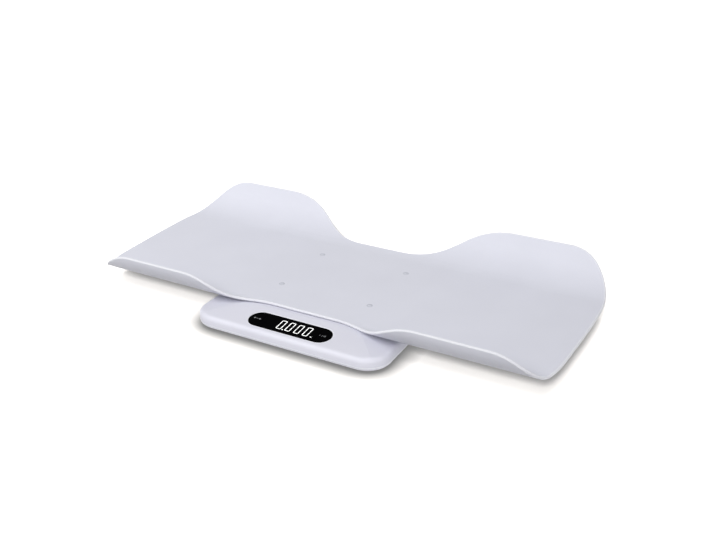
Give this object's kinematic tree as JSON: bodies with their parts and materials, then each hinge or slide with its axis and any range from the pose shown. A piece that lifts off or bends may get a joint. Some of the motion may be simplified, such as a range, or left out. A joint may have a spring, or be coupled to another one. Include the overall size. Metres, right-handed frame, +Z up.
{
  "type": "baby weighing scale",
  "caption": "Digital baby scale: a thin white curved tray with raised rear wings and low front lips, lifted off a low platform that carries a sloping black display.",
  "frame": {"origin": "on the table, under the middle of the scale's outer box", "axes": "+X to the user's right along the tray, +Y to the back, away from the display, +Z up"},
  "size_m": [0.554, 0.2752, 0.0588],
  "materials": {
    "tray_white": "satin moulded ABS",
    "housing_white": "satin moulded ABS",
    "lens_black": "polished acrylic",
    "module_grey": "moulded display block",
    "board_green": "solder mask",
    "chip_black": "moulded package",
    "screw_steel": "zinc plated",
    "cell_steel": "spring steel",
    "carrier_grey": "moulded ABS",
    "foot_rubber": "matt elastomer",
    "battery_jacket": "printed jacket",
    "contact_nickel": "nickel plated"
  },
  "bodies": {
    "base": {"upper_housing": "housing_white", "lower_housing": "housing_white", "display_lens": "lens_black", "display_module": "module_grey", "main_board": "board_green", "board_chips": "chip_black", "board_screws": "screw_steel", "unit_switch": "chip_black", "power_switch": "chip_black", "load_cell_front_left": "cell_steel", "foot_carrier_front_left": "carrier_grey", "rubber_foot_front_left": "foot_rubber", "load_cell_front_right": "cell_steel", "foot_carrier_front_right": "carrier_grey", "rubber_foot_front_right": "foot_rubber", "load_cell_rear_left": "cell_steel", "foot_carrier_rear_left": "carrier_grey", "rubber_foot_rear_left": "foot_rubber", "load_cell_rear_right": "cell_steel", "foot_carrier_rear_right": "carrier_grey", "rubber_foot_rear_right": "foot_rubber", "battery_1": "battery_jacket", "battery_2": "battery_jacket", "battery_3": "battery_jacket", "battery_contacts": "contact_nickel", "housing_screws": "screw_steel"},
    "tray": {"tray": "tray_white"},
    "unit_key": {"unit_key": "lens_black"},
    "power_key": {"power_key": "lens_black"},
    "battery_door": {"battery_door": "housing_white"}
  },
  "joints": [
    {"name": "tray_lift", "type": "slide", "parent": "base", "child": "tray", "axis": [0, 0, 1], "range_m": [0, 0.04]},
    {"name": "unit_key_press", "type": "slide", "parent": "base", "child": "unit_key", "axis": [0, 0.0837, -0.9965], "range_m": [0, 0.0005], "stiffness_N_per_m": 600, "springref_m": -0.002},
    {"name": "power_key_press", "type": "slide", "parent": "base", "child": "power_key", "axis": [0, 0.0837, -0.9965], "range_m": [0, 0.0005], "stiffness_N_per_m": 600, "springref_m": -0.002},
    {"name": "battery_door_slide", "type": "slide", "parent": "base", "child": "battery_door", "axis": [0, 1, 0], "range_m": [0, 0.048]}
  ]
}
